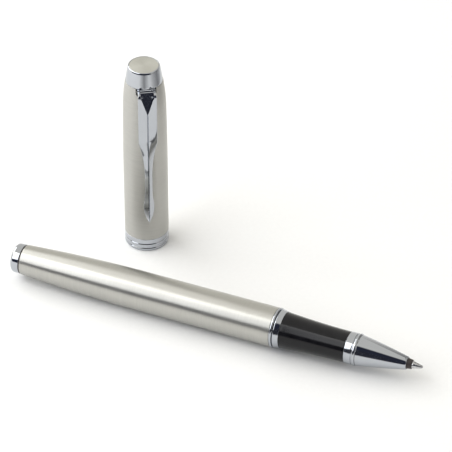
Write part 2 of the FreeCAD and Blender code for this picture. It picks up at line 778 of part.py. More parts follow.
turned_cap_piece("inner_cap", [
    ("liner_bore", "liner_bottom"),
    ("liner_radius", "liner_bottom"),
    ("liner_radius", "liner_top"),
    (ON_AXIS, "liner_top"),
    (ON_AXIS, "liner_roof"),
    ("liner_bore", "liner_roof"),
])


def make_clutch():
    """Sprung ring that grips the section when the cap is on."""
    body = new_body("clutch_insert")
    ring = revolve(body, [
        ("clutch_bore", "clutch_bottom"),
        ("clutch_radius", "clutch_bottom"),
        ("clutch_radius", "clutch_top"),
        ("clutch_bore", "clutch_top"),
    ], "V_Axis")
    opening = sketch_on(body, "YZ_Plane", "slot")
    draw(opening, [
        ("-slot_half", "clutch_bottom - face_gap"),
        ("slot_half", "clutch_bottom - face_gap"),
        ("slot_half", "slot_top"),
        ("-slot_half", "slot_top"),
    ])
    slot = body.newObject("PartDesign::Pocket", "clutch_slot")
    slot.Profile = opening
    bind(slot, "Length", "clutch_radius + face_gap")
    slot.Reversed = True
    opening.Visibility = False
    cut_checked(body, slot)
    slots = body.newObject("PartDesign::PolarPattern", "clutch_slots")
    slots.Originals = [slot]
    slots.Axis = (ring.Profile[0], ["V_Axis"])
    slots.Angle = 360.0
    bind(slots, "Occurrences", "clutch_fingers")
    body.Tip = slots
    doc.recompute()
    stand_in_cap(body)


make_clutch()


def groove_at(low):
    """The four corners of a trim groove, from its lower edge."""
    return [
        ("tube_radius", low),
        ("tube_radius - trim_depth", low),
        ("tube_radius - trim_depth", f"{low} + groove_width"),
        ("tube_radius", f"{low} + groove_width"),
    ]


turned_cap_piece("cap_trim_ring", [
    ("trim_bore", ON_AXIS),
    ("tube_radius - trim_round", ON_AXIS, "trim_round", -1),
    ("tube_radius", "trim_round"),
    *groove_at("lower_groove"),
    *groove_at("upper_groove"),
    ("tube_radius", "trim_top"),
    ("trim_spigot", "trim_top"),
    ("trim_spigot", "trim_spigot_top"),
    ("trim_bore", "trim_spigot_top"),
])

# Check and write ----------------------------------------------------------------------------

doc.recompute()
for thing in doc.Objects:
    if "Invalid" in thing.State or "Error" in thing.State:
        raise RuntimeError(f"{thing.Label} failed: {thing.State}")
for piece in finished:
    if piece.Shape.isNull() or not piece.Shape.isValid():
        raise RuntimeError(f"{piece.Label} has no valid shape")

os.makedirs("parts", exist_ok=True)
for piece in finished:
    piece.Shape.exportStep(os.path.join("parts", f"{piece.Label}.step"))
    print(f"{piece.Label}: {piece.Shape.Volume:.2f} mm3, {len(piece.Shape.Solids)} solid")
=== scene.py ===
import json
import math

import bmesh
import bpy
import numpy as np
from mathutils import Matrix, Vector


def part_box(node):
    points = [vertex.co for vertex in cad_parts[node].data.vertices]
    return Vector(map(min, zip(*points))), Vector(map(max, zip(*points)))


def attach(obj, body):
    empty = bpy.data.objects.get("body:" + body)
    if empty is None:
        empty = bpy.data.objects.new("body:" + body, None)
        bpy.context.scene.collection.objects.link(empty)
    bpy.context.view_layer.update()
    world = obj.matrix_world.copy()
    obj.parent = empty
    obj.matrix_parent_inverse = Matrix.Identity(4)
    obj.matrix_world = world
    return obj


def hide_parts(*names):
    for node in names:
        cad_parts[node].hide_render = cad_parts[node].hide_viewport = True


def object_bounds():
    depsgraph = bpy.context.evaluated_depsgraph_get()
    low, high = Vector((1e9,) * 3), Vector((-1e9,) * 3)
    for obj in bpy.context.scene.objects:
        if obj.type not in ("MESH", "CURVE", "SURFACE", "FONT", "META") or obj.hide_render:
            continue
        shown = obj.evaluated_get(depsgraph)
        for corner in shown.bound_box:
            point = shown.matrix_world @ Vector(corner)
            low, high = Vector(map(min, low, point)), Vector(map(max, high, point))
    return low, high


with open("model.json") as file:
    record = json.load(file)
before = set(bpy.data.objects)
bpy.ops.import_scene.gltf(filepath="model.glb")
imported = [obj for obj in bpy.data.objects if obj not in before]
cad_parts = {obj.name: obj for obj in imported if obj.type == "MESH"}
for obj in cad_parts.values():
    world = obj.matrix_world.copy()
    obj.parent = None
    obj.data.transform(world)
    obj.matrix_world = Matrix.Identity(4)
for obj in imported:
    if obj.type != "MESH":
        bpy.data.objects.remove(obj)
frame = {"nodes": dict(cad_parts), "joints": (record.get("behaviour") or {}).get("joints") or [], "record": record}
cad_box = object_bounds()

# A rollerball pen, uncapped: the pen lies along +X and its cap stands behind it. Turned pieces
# are drawn as outlines in millimetres and revolved: pen pieces by their station from the tail
# end and their radius, cap pieces by their height and their radius.

MM = 0.001
AROUND = 160  # facets round a small turned piece
FINE_AROUND = 192  # facets round a large one
ARC_STEPS = 24
SHARP_EDGE = 38  # degrees
ON_AXIS = 1e-4  # a radius under this is a point on the axis
SAME_RADIUS = 0.01  # radii nearer than this count as one

# Places read from the frame -------------------------------------------------------------------

barrel_low, barrel_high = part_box("barrel_tube")
trim_low, trim_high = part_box("cap_trim_ring")
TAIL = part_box("barrel_end_cap")[0].x
PEN_AXIS = (barrel_low + barrel_high) / 2
CAP_AXIS = (trim_low + trim_high) / 2
clip_hinge = next(joint for joint in frame["joints"] if joint["name"] == "clip_flex")
CLIP_OUT = Vector((0, 0, 1)).cross(Vector(clip_hinge["axis"])).normalized()
CLIP_SIDE = Vector((0, 0, 1)).cross(CLIP_OUT)


def station(node, end):
    """A pen node's rear (0) or front (1) end, as a station in millimetres."""
    return (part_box(node)[end].x - TAIL) / MM


def height(node, end):
    """A cap node's lower (0) or upper (1) end, in millimetres."""
    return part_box(node)[end].z / MM


def radius(node):
    """A turned node's outer radius, in millimetres."""
    low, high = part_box(node)
    return (high.y - low.y) / 2 / MM


# Outlines and meshes --------------------------------------------------------------------------


def bulged(start, end, bend, side, steps):
    """Points after start, up to end, on an arc of radius bend: side 1 bulges to the left."""
    start = np.array(start, float)
    end = np.array(end, float)
    chord = end - start
    half = np.linalg.norm(chord) / 2
    across = np.array((-chord[1], chord[0])) / (2 * half)
    middle = (start + end) / 2 - across * side * math.sqrt(bend ** 2 - half ** 2)
    first = math.atan2(*(start - middle)[::-1])
    turn = -side * 2 * math.asin(half / bend)
    return [
        middle + bend * np.array((math.cos(first + turn * i / steps), math.sin(first + turn * i / steps)))
        for i in range(1, steps + 1)
    ]


def rounded(before, corner, after, reach, steps=5):
    """Points of a small round between two straight runs that meet at corner."""
    toward = before - corner
    away = after - corner
    toward_length = np.linalg.norm(toward)
    away_length = np.linalg.norm(away)
    reach = min(reach, toward_length * 0.45, away_length * 0.45)
    first = corner + toward / toward_length * reach
    last = corner + away / away_length * reach
    points = []
    for i in range(steps + 1):
        t = i / steps
        points.append((1 - t) ** 2 * first + 2 * t * (1 - t) * corner + t * t * last)
    return points


def outline(corners):
    """A closed polyline from corners. A corner is (along, out), with a third value for the reach of its
    round, and a fourth and fifth for the radius and side of an arc that leaves it."""
    path = []
    reaches = []
    for number, corner in enumerate(corners):
        place = np.array(corner[:2], float)
        path.append(place)
        reaches.append(corner[2] if len(corner) > 2 else 0)
        if len(corner) == 5:
            following = corners[(number + 1) % len(corners)][:2]
            points = bulged(place, following, corner[3], corner[4], ARC_STEPS)[:-1]
            path.extend(points)
            reaches.extend([0] * len(points))
    points = []
    for number, place in enumerate(path):
        if reaches[number] == 0:
            points.append(place)
            continue
        before = path[number - 1]
        after = path[(number + 1) % len(path)]
        points.extend(rounded(before, place, after, reaches[number]))
    return points


def on_pen(along, out, angle):
    """Pen outlines are drawn as (station, radius)."""
    return Vector((
        TAIL + along * MM,
        PEN_AXIS.y + out * MM * math.cos(angle),
        PEN_AXIS.z + out * MM * math.sin(angle),
    ))


def on_cap(along, out, angle):
    """Cap outlines are drawn as (height, radius)."""
    return Vector((
        CAP_AXIS.x + out * MM * math.cos(angle),
        CAP_AXIS.y + out * MM * math.sin(angle),
        along * MM,
    ))


def finish_mesh(name, bm, sharp=SHARP_EDGE):
    bmesh.ops.recalc_face_normals(bm, faces=bm.faces)
    mesh = bpy.data.meshes.new(name)
    bm.to_mesh(mesh)
    bm.free()
    mesh.polygons.foreach_set("use_smooth", [True] * len(mesh.polygons))
    mesh.set_sharp_from_angle(angle=math.radians(sharp))
    piece = bpy.data.objects.new(name, mesh)
    bpy.context.scene.collection.objects.link(piece)
    return piece


def lathe(name, points, place, around=AROUND, shape=None):
    """Revolves a closed outline. shape(along, out, angle) may change a point's radius."""
    bm = bmesh.new()
    rings = []
    for along, out in points:
        if out < ON_AXIS:
            rings.append([bm.verts.new(place(along, 0, 0))])
            continue
        ring = []
        for i in range(around):
            angle = 2 * math.pi * i / around
            reach = shape(along, out, angle) if shape else out
            ring.append(bm.verts.new(place(along, reach, angle)))
        rings.append(ring)
    for number, ring in enumerate(rings):
        following = rings[(number + 1) % len(rings)]
        if len(ring) == 1 and len(following) == 1:
            continue
        for i in range(around):
            corners = [
                ring[i % len(ring)], ring[(i + 1) % len(ring)],
                following[(i + 1) % len(following)], following[i % len(following)],
            ]
            unique = list(dict.fromkeys(corners))
            bm.faces.new(unique)
    return finish_mesh(name, bm)


def settle(piece, body, slot, *nodes):
    """Puts a finished piece on its body, with its slot and the CAD nodes it stands for."""
    weighted = piece.modifiers.new("weighted_normals", "WEIGHTED_NORMAL")
    weighted.keep_sharp = True
    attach(piece, body)
    if nodes:
        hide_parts(*nodes)
    piece.data.materials.append(MATERIALS[slot])
    return piece


# Materials ------------------------------------------------------------------------------------


class Shader:
    """A material with one Principled shader and short calls for the nodes it needs."""

    NOISE_ROUGHNESS = 0.55
    NOISE_LOW = 0.3
    NOISE_HIGH = 0.7

    def __init__(self, name, colour, metallic, roughness):
        self.material = bpy.data.materials.new(name)
        self.material.use_nodes = True
        self.tree = self.material.node_tree
        self.surface = self.tree.nodes["Principled BSDF"]
        self.set("Base Color", (*colour, 1))
        self.set("Metallic", metallic)
        self.set("Roughness", roughness)
        self.place = self.tree.nodes.new("ShaderNodeTexCoord").outputs["Object"]

    def set(self, socket, value):
        self.surface.inputs[socket].default_value = value

    def link(self, start, end):
        self.tree.links.new(start, end)

    def noise(self, scale, detail=4.0, stretch=(1, 1, 1)):
        mapping = self.tree.nodes.new("ShaderNodeMapping")
        mapping.inputs["Scale"].default_value = stretch
        self.link(self.place, mapping.inputs["Vector"])
        noise = self.tree.nodes.new("ShaderNodeTexNoise")
        noise.inputs["Scale"].default_value = scale
        noise.inputs["Detail"].default_value = detail
        noise.inputs["Roughness"].default_value = self.NOISE_ROUGHNESS
        self.link(mapping.outputs["Vector"], noise.inputs["Vector"])
        return noise.outputs["Fac"]

    def spread(self, value, start, end, low, high):
        """Carries a value from the range start to end over to the range low to high."""
        ranged = self.tree.nodes.new("ShaderNodeMapRange")
        ranged.inputs["From Min"].default_value = start
        ranged.inputs["From Max"].default_value = end
        ranged.inputs["To Min"].default_value = low
        ranged.inputs["To Max"].default_value = high
        self.link(value, ranged.inputs["Value"])
        return ranged.outputs["Result"]

    def tint(self, value, first, second):
        ramp = self.tree.nodes.new("ShaderNodeValToRGB")
        ramp.color_ramp.elements[0].position = self.NOISE_LOW
        ramp.color_ramp.elements[0].color = (*first, 1)
        ramp.color_ramp.elements[1].position = self.NOISE_HIGH
        ramp.color_ramp.elements[1].color = (*second, 1)
        self.link(value, ramp.inputs["Fac"])
        self.link(ramp.outputs["Color"], self.surface.inputs["Base Color"])

    def roughen(self, value, low, high):
        spread = self.spread(value, self.NOISE_LOW, self.NOISE_HIGH, low, high)
        self.link(spread, self.surface.inputs["Roughness"])

    def bump(self, value, strength, depth_mm):
        bump = self.tree.nodes.new("ShaderNodeBump")
        bump.inputs["Strength"].default_value = strength
        bump.inputs["Distance"].default_value = depth_mm * MM
        self.link(value, bump.inputs["Height"])
        self.link(bump.outputs["Normal"], self.surface.inputs["Normal"])

    def brush(self, axis, amount):
        """Brushed round an axis: the highlight stretches along it."""
        tangent = self.tree.nodes.new("ShaderNodeTangent")
        tangent.direction_type = "RADIAL"
        tangent.axis = axis
        self.link(tangent.outputs["Tangent"], self.surface.inputs["Tangent"])
        self.set("Anisotropic", amount)
        self.set("Anisotropic Rotation", 0.25)

    def fade(self, axis, reach, strength):
        """Makes the surface clear toward reach on both sides of its middle."""
        split = self.tree.nodes.new("ShaderNodeSeparateXYZ")
        self.link(self.place, split.inputs[0])
        distance = self.tree.nodes.new("ShaderNodeMath")
        distance.operation = "ABSOLUTE"
        self.link(split.outputs[axis], distance.inputs[0])
        alpha = self.spread(distance.outputs[0], 0, reach, strength, 0)
        self.link(alpha, self.surface.inputs["Alpha"])


def shades(colour, amount):
    """A darker and a lighter version of a colour."""
    darker = tuple(c * (1 - amount) for c in colour)
    lighter = tuple(min(1, c * (1 + amount)) for c in colour)
    return darker, lighter


def brushed(name, colour, axis, roughness, amount):
    """Steel with fine scratches round an axis."""
    shader = Shader(name, colour, 1.0, roughness)
    stretch = (1, 0.02, 0.02) if axis == "X" else (0.02, 0.02, 1)
    lines = shader.noise(9000, 3.0, stretch)
    patches = shader.noise(60, 2.0)
    shader.tint(lines, *shades(colour, 0.05))
    shader.roughen(patches, roughness - 0.03, roughness + 0.03)
    shader.bump(lines, 0.25, 0.004)
    shader.brush(axis, amount)
    return shader.material


def polished(name, colour, roughness):
    """Plated metal: mirror bright, with faint haze and hairline scratches."""
    shader = Shader(name, colour, 1.0, roughness)
    haze = shader.noise(260, 3.0)
    hairlines = shader.noise(2600, 2.0, (1, 0.15, 0.6))
    shader.tint(haze, *shades(colour, 0.015))
    shader.roughen(haze, roughness * 0.7, roughness * 1.3)
    shader.bump(hairlines, 0.02, 0.002)
    return shader.material


def plastic(name, colour, roughness, grain, depth_mm, amount=0.08):
    """Moulded plastic: fine grain and a little unevenness."""
    shader = Shader(name, colour, 0.0, roughness)
    clouds = shader.noise(300, 3.0)
    shader.tint(clouds, *shades(colour, amount))
    shader.roughen(clouds, roughness * 0.85, roughness * 1.15)
    shader.bump(shader.noise(grain, 3.0), 0.3, depth_mm)
    return shader.material


def lacquer(name):
    """Black gloss lacquer over metal: a clear coat with a faint ripple."""
    shader = Shader(name, (0.006, 0.006, 0.007), 0.0, 0.16)
    ripple = shader.noise(420, 2.0)
    shader.tint(ripple, (0.004, 0.004, 0.005), (0.008, 0.008, 0.010))
    shader.roughen(ripple, 0.13, 0.19)
    shader.bump(ripple, 0.05, 0.01)
    shader.set("Specular IOR Level", 0.20)
    shader.set("Coat Weight", 0.22)
    shader.set("Coat Roughness", 0.08)
    return shader.material


def turned(name, colour, roughness, axis):
    """Turned metal: tool marks round the axis."""
    shader = Shader(name, colour, 1.0, roughness)
    stretch = (1, 0.03, 0.03) if axis == "X" else (0.03, 0.03, 1)
    marks = shader.noise(5200, 2.0, stretch)
    shader.tint(marks, *shades(colour, 0.10))
    shader.roughen(marks, roughness * 0.85, roughness * 1.2)
    shader.bump(marks, 0.3, 0.006)
    shader.brush(axis, 0.5)
    return shader.material


def fibre(name, colour):
    """Bundled fibres that run along the pen."""
    shader = Shader(name, colour, 0.0, 0.85)
    strands = shader.noise(4200, 3.0, (0.04, 1, 1))
    shader.tint(strands, *shades(colour, 0.3))
    shader.bump(strands, 0.6, 0.03)
    return shader.material


CHROME = (0.475, 0.495, 0.53)
STEEL = (0.51, 0.505, 0.475)
MATERIALS = {
    "brushed_barrel": brushed("brushed_barrel_steel", STEEL, "X", 0.38, 0.75),
    "brushed_cap": brushed("brushed_cap_steel", (0.475, 0.47, 0.445), "Z", 0.40, 0.7),
    "chrome_trim": polished("trim_chrome", CHROME, 0.05),
    "clip_chrome": polished("clip_chrome", CHROME, 0.06),
    "satin_disc": brushed("satin_disc_steel", (0.56, 0.56, 0.52), "Z", 0.42, 0.3),
    "black_lacquer": lacquer("grip_lacquer"),
    "dark_plastic": plastic("nose_plastic", (0.035, 0.026, 0.024), 0.42, 4000, 0.01),
    "tip_steel": turned("tip_steel", (0.56, 0.56, 0.57), 0.24, "X"),
    "ball_metal": polished("ball_metal", (0.6, 0.6, 0.62), 0.08),
    "brass_fitting": turned("turned_brass", (0.78, 0.58, 0.28), 0.25, "X"),
    "seal_rubber": plastic("seal_rubber", (0.02, 0.02, 0.02), 0.7, 2600, 0.02),
    "spring_wire": turned("spring_wire", (0.55, 0.55, 0.57), 0.28, "X"),
    "white_plastic": plastic("white_plastic", (0.78, 0.78, 0.75), 0.4, 2200, 0.01, 0.03),
    "liner_plastic": plastic("liner_plastic", (0.22, 0.23, 0.25), 0.45, 2200, 0.01),
    "refill_body": brushed("refill_tube_metal", (0.6, 0.6, 0.6), "X", 0.3, 0.5),
    "refill_plug": plastic("refill_plug", (0.07, 0.07, 0.08), 0.38, 2600, 0.01),
    "ink_core": fibre("ink_core", (0.03, 0.03, 0.07)),
    "feed_fibre": fibre("feed_fibre", (0.75, 0.73, 0.66)),
}

# Barrel ---------------------------------------------------------------------------------------


def make_end_cap():
    face = 3.15
    edge = 1.03
    side = radius("barrel_end_cap")
    groove = 2.6
    floor = 3.9
    mouth = station("barrel_tube", 0) - 0.02
    plug = 3.77
    piece = lathe("end_cap", outline([
        (0.12, 0),
        (0.0, face * 0.35, 0.3),
        (0.0, face, 0.05, edge, 1),
        (edge, side, 0.05),
        (groove, side, 0.1),
        (groove, floor, 0.04),
        (mouth, floor, 0.04),
        (mouth, plug),
        (station("barrel_end_cap", 1), plug, 0.2),
        (station("barrel_end_cap", 1), 0),
    ]), on_pen)
    settle(piece, "barrel", "chrome_trim", "barrel_end_cap")
    # Painted shade: a dark ring set into the groove draws the groove's shadow gap as a dark piece.
    line = lathe("end_cap_groove_painted_shade", outline([
        (groove + 0.01, floor - 0.05),
        (groove + 0.01, side - 0.16),
        (mouth - 0.01, side - 0.16),
        (mouth - 0.01, floor - 0.05),
    ]), on_pen)
    settle(line, "barrel", "dark_plastic")


def make_barrel():
    tail = 4.22
    swell_end = 40.0
    swell = 535.4  # radius of the arc between them
    side = radius("barrel_tube")
    wall = 0.42
    start = station("barrel_tube", 0)
    end = station("barrel_tube", 1)
    piece = lathe("barrel", outline([
        (start, tail - wall),
        (start, tail, 0.08),
        (start + 0.25, tail + 0.02, 0, swell, 1),
        (swell_end, side),
        (end, side, 0.08),
        (end, side - wall),
        (swell_end, side - wall, 0, swell, -1),
    ]), on_pen, FINE_AROUND)
    settle(piece, "barrel", "brushed_barrel", "barrel_tube")


def make_rib():
    start = station("barrel_rib", 0)
    end = station("barrel_rib", 1)
    edge = 5.45
    bore = 4.45
    piece = lathe("mouth_rib", outline([
        (start, bore),
        (start, edge, 0.04, 0.45, 1),
        (end, edge, 0.04),
        (end, bore),
    ]), on_pen)
    settle(piece, "barrel", "chrome_trim", "barrel_rib")


# Thread: both sides follow one helix, whose lead is the joint's.
LEAD = 1.0
THREAD_DEPTH = 0.25
THREAD_RUN = 0.6
THREAD_FLANK = 2.6


def thread_cut(along, angle, start, end):
    """How deep a right-hand thread is cut at a point, fading out at both ends."""
    phase = (along / LEAD - angle / (2 * math.pi)) % 1
    tooth = max(0, 1 - abs(phase - 0.5) * THREAD_FLANK)
    fade = min(1, (along - start) / THREAD_RUN, (end - along) / THREAD_RUN)
    return THREAD_DEPTH * tooth * max(0, fade)


def dense(first, last, out, step=0.085):
    """Closely spaced points on a straight run, for a threaded stretch."""
    count = max(2, round(abs(last - first) / step))
    return [(first + (last - first) * i / count, out) for i in range(count + 1)]


def make_bush():
    start = station("barrel_thread_bush", 0)
    end = station("barrel_thread_bush", 1)
    bore = 4.3
    thread_end = end - 2.2

    def shape(along, out, angle):
        if out > bore + SAME_RADIUS:
            return out
        return out + thread_cut(along, angle, start, thread_end)

    side = radius("barrel_thread_bush")
    points = dense(end, start, bore) + [np.array((start, side)), np.array((end, side))]
    piece = lathe("thread_bush", points, on_pen, 96, shape)
    settle(piece, "barrel", "brass_fitting", "barrel_thread_bush")


# Spring ---------------------------------------------------------------------------------------


def tube(name, centres, thickness, around=20):
    """A round wire along a list of points, closed at both ends."""
    bm = bmesh.new()
    rings = []
    axis = Vector((1, 0, 0))
    for number, centre in enumerate(centres):
        before = centres[max(number - 1, 0)]
        after = centres[min(number + 1, len(centres) - 1)]
        forward = (after - before).normalized()
        outward = forward.cross(axis).normalized()
        upward = forward.cross(outward)
        ring = []
        for i in range(around):
            angle = 2 * math.pi * i / around
            offset = outward * math.cos(angle) + upward * math.sin(angle)
            ring.append(bm.verts.new(centre + offset * thickness))
        rings.append(ring)
    for ring, following in zip(rings, rings[1:]):
        for i in range(around):
            j = (i + 1) % around
            bm.faces.new((ring[i], ring[j], following[j], following[i]))
    bm.faces.new(rings[0])
    bm.faces.new(rings[-1])
    return finish_mesh(name, bm, 60)


def make_spring():
    """Compression spring: its end turns lie closed, the others are open."""
    wire = 0.22
    coil = 2.75
    start = station("refill_spring", 0) + wire
    end = station("refill_spring", 1) - wire
    turns = 7
    closed = 1.15
    pitch = 2.05 * wire
    steps = 72 * turns
    rise = (end - start - 2 * closed * pitch) / (turns - 2 * closed)
    centres = []
    for i in range(steps + 1):
        turn = turns * i / steps
        low = min(turn, closed)
        high = max(0, turn - (turns - closed))
        along = start + pitch * (low + high) + rise * (turn - low - high)
        centres.append(on_pen(along, coil, 2 * math.pi * turn))
    settle(tube("spring_coil", centres, wire * MM), "spring", "spring_wire", "refill_spring")


def make_cup():
    start = station("spring_cup", 0)
    end = station("spring_cup", 1)
    side = radius("spring_cup")
    stub = 2.1
    flange = end - 1.2
    floor = end - 0.3
    piece = lathe("spring_seat", outline([
        (start, 0),
        (start, stub, 0.3),
        (flange, stub, 0.1),
        (flange, side, 0.12),
        (end, side, 0.2),
        (end, 1.6, 0.1),
        (floor, 1.4, 0.1),
        (floor, 0),
    ]), on_pen)
    settle(piece, "cup", "white_plastic", "spring_cup")


# Writing section ------------------------------------------------------------------------------


def make_core():
    start = station("section_core", 0)
    end = station("section_core", 1)
    bore = 3.15
    outside = 4.25
    seal_start = 76.6
    seal_end = 77.6
    seal_floor = 3.75
    band_seat = 4.6
    grip_seat = 3.8
    nozzle_seat = 3.7
    nozzle_step = 100.1
    shoulder = station("section_band", 0)
    grip_start = station("grip_sleeve", 0)
    thread_start = start + 0.9
    thread_end = seal_start - 0.6

    def shape(along, out, angle):
        if out < outside - SAME_RADIUS or along > thread_end:
            return out
        return out - thread_cut(along, angle, thread_start, thread_end)

    points = [(start, bore + 0.2), (start, outside - 0.5), (start + 0.5, outside)]
    points += dense(start + 0.7, thread_end + 0.2, outside)
    points += outline([
        (seal_start, outside, 0.05),
        (seal_start, seal_floor, 0.05),
        (seal_end, seal_floor, 0.05),
        (seal_end, outside, 0.05),
        (shoulder, outside),
        (shoulder, band_seat, 0.05),
        (grip_start - 0.1, band_seat),
        (grip_start - 0.1, grip_seat),
        (nozzle_step, grip_seat),
        (nozzle_step, nozzle_seat),
        (end, nozzle_seat, 0.1),
        (end, bore, 0.1),
        (start + 0.4, bore),
    ])
    piece = lathe("section_tube", points, on_pen, 120, shape)
    settle(piece, "section", "brass_fitting", "section_core")


def make_band():
    start = station("section_band", 0)
    end = station("section_band", 1)
    crest = radius("section_band")
    bore = 4.62
    piece = lathe("section_collar", outline([
        (start, bore),
        (start, crest - 0.28, 0.05),
        (start + 0.35, crest, 0.12),
        (end, crest - 0.32, 0.06),
        (end, bore),
    ]), on_pen)
    settle(piece, "section", "chrome_trim", "section_band")


def make_grip():
    start = station("grip_sleeve", 0)
    end = station("grip_sleeve", 1)
    rear = radius("grip_sleeve")
    front = 4.32
    waist = 254.6
    bore = 3.82
    piece = lathe("grip", outline([
        (start, bore),
        (start, rear, 0.06),
        (start + 0.15, rear - 0.005, 0, waist, -1),
        (end, front, 0.06),
        (end, bore),
    ]), on_pen, FINE_AROUND)
    settle(piece, "section", "black_lacquer", "grip_sleeve")


def make_front_ring():
    start = station("front_ring", 0)
    end = station("front_ring", 1)
    step = 102.1
    bead = 102.35
    collar = 4.4
    neck = 4.2
    front = 4.3
    bore = 3.72
    piece = lathe("front_collar", outline([
        (start, bore),
        (start, collar, 0.06),
        (step, collar, 0.08),
        (step, neck, 0.04),
        (bead, neck, 0.04),
        (bead, front, 0.03, 0.55, 1),
        (end, front, 0.03),
        (end, bore),
    ]), on_pen)
    settle(piece, "section", "chrome_trim", "front_ring")


def make_cone():
    start = station("nozzle_cone", 0)
    end = station("nozzle_cone", 1)
    bore = 3.72
    bore_end = start + 1.25
    throat = 1.55
    piece = lathe("nozzle", outline([
        (start, bore),
        (start, 4.3, 0.06),
        (start + 0.15, 4.278, 0, 190.0, 1),
        (end - 0.12, 1.802),
        (end, 1.70, 0.05),
        (end, throat, 0.05),
        (end - 1.6, throat),
        (bore_end, 3.3),
        (bore_end, bore),
    ]), on_pen, FINE_AROUND)
    settle(piece, "section", "chrome_trim", "nozzle_cone")


# Refill ---------------------------------------------------------------------------------------


def make_stopper():
    start = station("refill_stopper", 0)
    end = station("refill_stopper", 1)
    side = radius("refill_stopper")
    plug = 2.58
    rim_end = start + 1.45
    recess = start + 0.35
    piece = lathe("refill_plug", outline([
        (recess, 0),
        (recess, 0.7, 0.05),
        (start, 0.9, 0.1),
        (start, side - 0.1, 0.25),
        (start + 0.2, side, 0.1),
        (rim_end, side, 0.06),
        (rim_end, plug),
        (end, plug, 0.3),
        (end, 0),
    ]), on_pen)
    settle(piece, "refill", "refill_plug", "refill_stopper")


def make_refill_tube():
    """Drawn tube, with two rolled grooves that hold the nose."""
    start = station("refill_tube", 0)
    end = station("refill_tube", 1)
    side = radius("refill_tube")
    bore = 2.6
    corners = [(start, bore), (start, side, 0.12)]
    for low in (end - 2.6, end - 1.5):
        corners += [
            (low, side, 0.1),
            (low + 0.25, side - 0.12, 0.12),
            (low + 0.5, side, 0.1),
        ]
    corners += [(end, side, 0.12), (end, bore)]
    piece = lathe("refill_body", outline(corners), on_pen)
    settle(piece, "refill", "refill_body", "refill_tube")


def make_nose():
    start = station("refill_nose", 0)
    end = station("refill_nose", 1)
    shoulder = station("refill_tube", 1)
    plug = 2.58
    body = 3.05
    body_end = 104.2
    pin = 1.42
    pin_start = 112.0
    feed_bore = 1.05
    tip_bore = 0.77
    piece = lathe("refill_nose_piece", outline([
        (start, feed_bore),
        (start, plug, 0.1),
        (shoulder, plug),
        (shoulder, body, 0.08),
        (body_end, body, 0.08),
        (body_end, 2.9, 0.05),
        (pin_start, pin, 0.4),
        (117.35, pin, 0.06),
        (end - 0.12, 1.30, 0.05),
        (end, 1.22, 0.05),
        (end, tip_bore),
        (pin_start, tip_bore),
        (pin_start, feed_bore),
    ]), on_pen)
    settle(piece, "refill", "dark_plastic", "refill_nose")


def make_tip():
    start = station("tip_cone", 0)
    end = station("tip_cone", 1)
    base = station("refill_nose", 1)
    shank = 0.75
    side = 0.98
    bore = 0.2
    piece = lathe("writing_tip", outline([
        (start, bore),
        (start, shank, 0.08),
        (base, shank),
        (base, side, 0.04),
        (base + 0.35, side, 0.06),
        (end - 0.35, 0.50, 0.2),
        (end, 0.40, 0.04),
        (end, 0.338, 0, 0.37, -1),
        (end - 0.461, bore),
    ]), on_pen, 96)
    settle(piece, "refill", "tip_steel", "tip_cone")


# Cap ------------------------------------------------------------------------------------------

TUBE_SIDE = 6.2
TUBE_WALL = 0.4
NOTCH_FLOOR = 52.35
NOTCH_HALF = 2.85
NOTCH_ROUND = 0.9


def notch_cutter():
    """A tall U, pushed out through the clip's side of the cap."""
    top = height("cap_tube", 1) + 1
    low = NOTCH_FLOOR
    corner = NOTCH_ROUND
    side = [(NOTCH_HALF, top), (NOTCH_HALF, low + corner)]
    steps = 10
    for i in range(1, steps):
        angle = math.pi / 2 * i / steps
        side.append((
            NOTCH_HALF - corner + corner * math.cos(angle),
            low + corner - corner * math.sin(angle),
        ))
    side.append((NOTCH_HALF - corner, low))
    border = side + [(-across, up) for across, up in side[::-1]]
    bm = bmesh.new()
    faces = []
    for reach in (3.0, 8.0):
        loop = []
        for across, up in border:
            place = Vector((CAP_AXIS.x, CAP_AXIS.y, up * MM))
            loop.append(bm.verts.new(place + (CLIP_OUT * reach + CLIP_SIDE * across) * MM))
        faces.append(loop)
    count = len(border)
    for i in range(count):
        j = (i + 1) % count
        bm.faces.new((faces[0][i], faces[0][j], faces[1][j], faces[1][i]))
    bm.faces.new(faces[0])
    bm.faces.new(faces[1])
    return finish_mesh("notch_cutter", bm)


def make_cap_tube():
    low = height("cap_tube", 0)
    top = height("cap_tube", 1)
    shoulder = 5.995
    shoulder_height = 46.3
    swell_height = 24.0
    neck = 5.27
    piece = lathe("cap_shell", outline([
        (low, TUBE_SIDE - TUBE_WALL),
        (low, TUBE_SIDE, 0.06),
        (swell_height, TUBE_SIDE, 0, 1212.0, 1),
        (shoulder_height, shoulder, 0, 60.0, 1),
        (top, neck, 0.06),
        (top, neck - TUBE_WALL),
        (shoulder_height, shoulder - TUBE_WALL),
        (swell_height, TUBE_SIDE - TUBE_WALL),
    ]), on_cap, 240)
    cutter = notch_cutter()
    cut = piece.modifiers.new("notch", "BOOLEAN")
    cut.operation = "DIFFERENCE"
    cut.solver = "EXACT"
    cut.object = cutter
    graph = bpy.context.evaluated_depsgraph_get()
    mesh = bpy.data.meshes.new_from_object(piece.evaluated_get(graph))
    piece.modifiers.clear()
    piece.data = mesh
    mesh.set_sharp_from_angle(angle=math.radians(SHARP_EDGE))
    bpy.data.objects.remove(cutter)
    settle(piece, "cap", "brushed_cap", "cap_tube")


